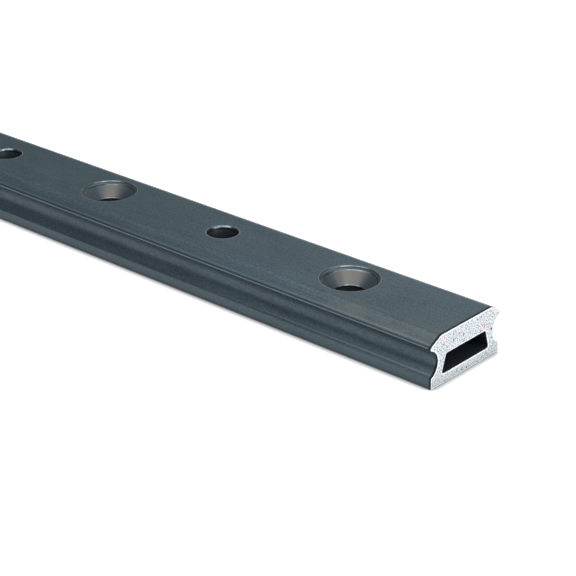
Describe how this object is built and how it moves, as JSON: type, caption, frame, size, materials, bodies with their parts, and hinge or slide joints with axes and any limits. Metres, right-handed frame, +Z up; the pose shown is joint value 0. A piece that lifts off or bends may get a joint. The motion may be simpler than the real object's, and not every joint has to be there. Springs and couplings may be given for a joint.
{
  "type": "sail track section",
  "caption": "Length of hollow aluminium sail track with a ball raceway along each side, countersunk screw holes and stop-pin holes.",
  "frame": {"origin": "middle of the base, halfway along the track", "axes": "+X along the track towards the end that has the first screw hole nearest to it, +Y across the track, +Z up from the base"},
  "size_m": [1, 0.032, 0.0152],
  "materials": {
    "anodised_rail": "satin"
  },
  "bodies": {
    "root": {"track_rail": "anodised_rail"}
  },
  "joints": []
}
